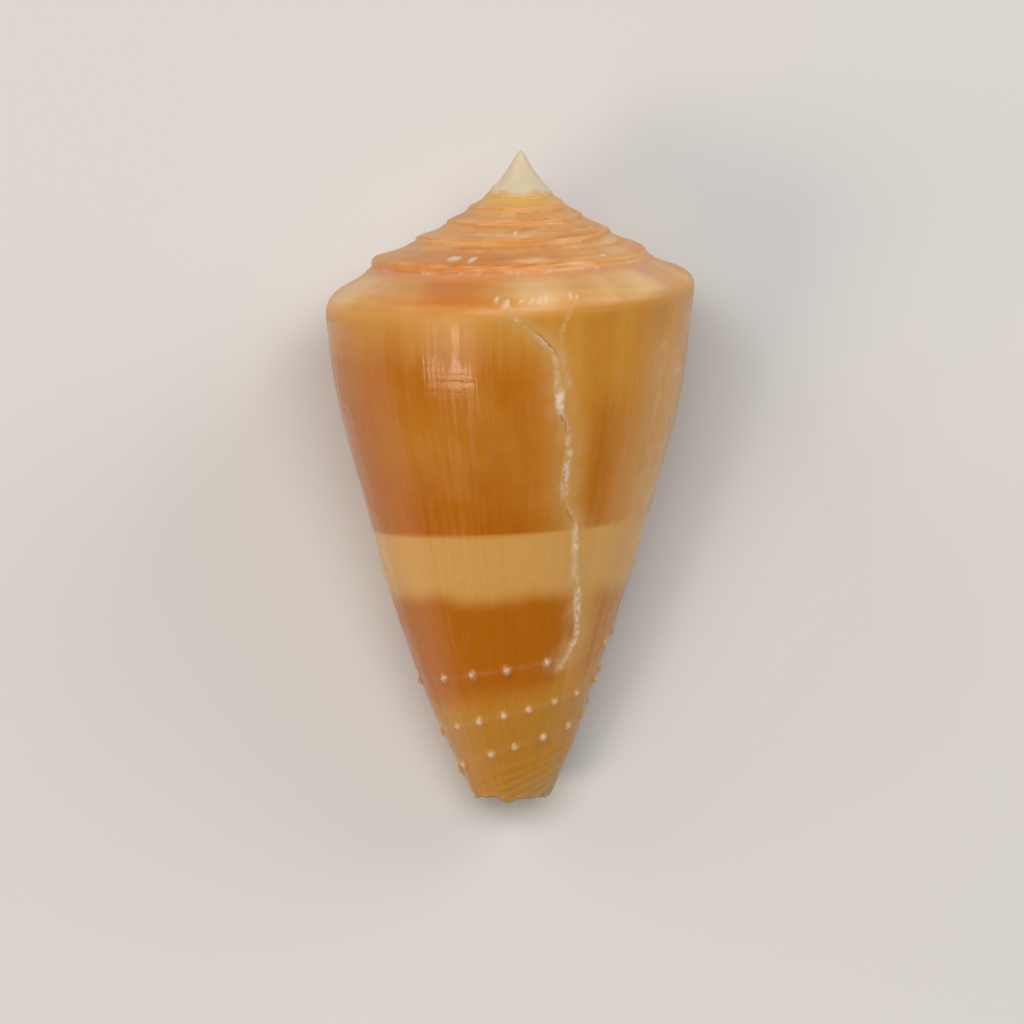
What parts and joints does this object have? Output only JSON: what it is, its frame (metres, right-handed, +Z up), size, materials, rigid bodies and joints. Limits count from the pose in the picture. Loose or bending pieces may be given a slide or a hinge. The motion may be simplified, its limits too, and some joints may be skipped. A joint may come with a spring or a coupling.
{
  "type": "cone snail shell",
  "caption": "Glossy conical sea snail shell with a low stepped spire, a narrow aperture underneath and granules near the base.",
  "frame": {"origin": "centre of the bounding box's underside, on the surface that the shell rests on", "axes": "+Y from the base towards the apex, +Z up through the shell's back, aperture facing down"},
  "size_m": [0.018, 0.0316, 0.0169],
  "materials": {
    "shell": "gloss"
  },
  "bodies": {
    "root": {"shell": "shell"}
  },
  "joints": []
}
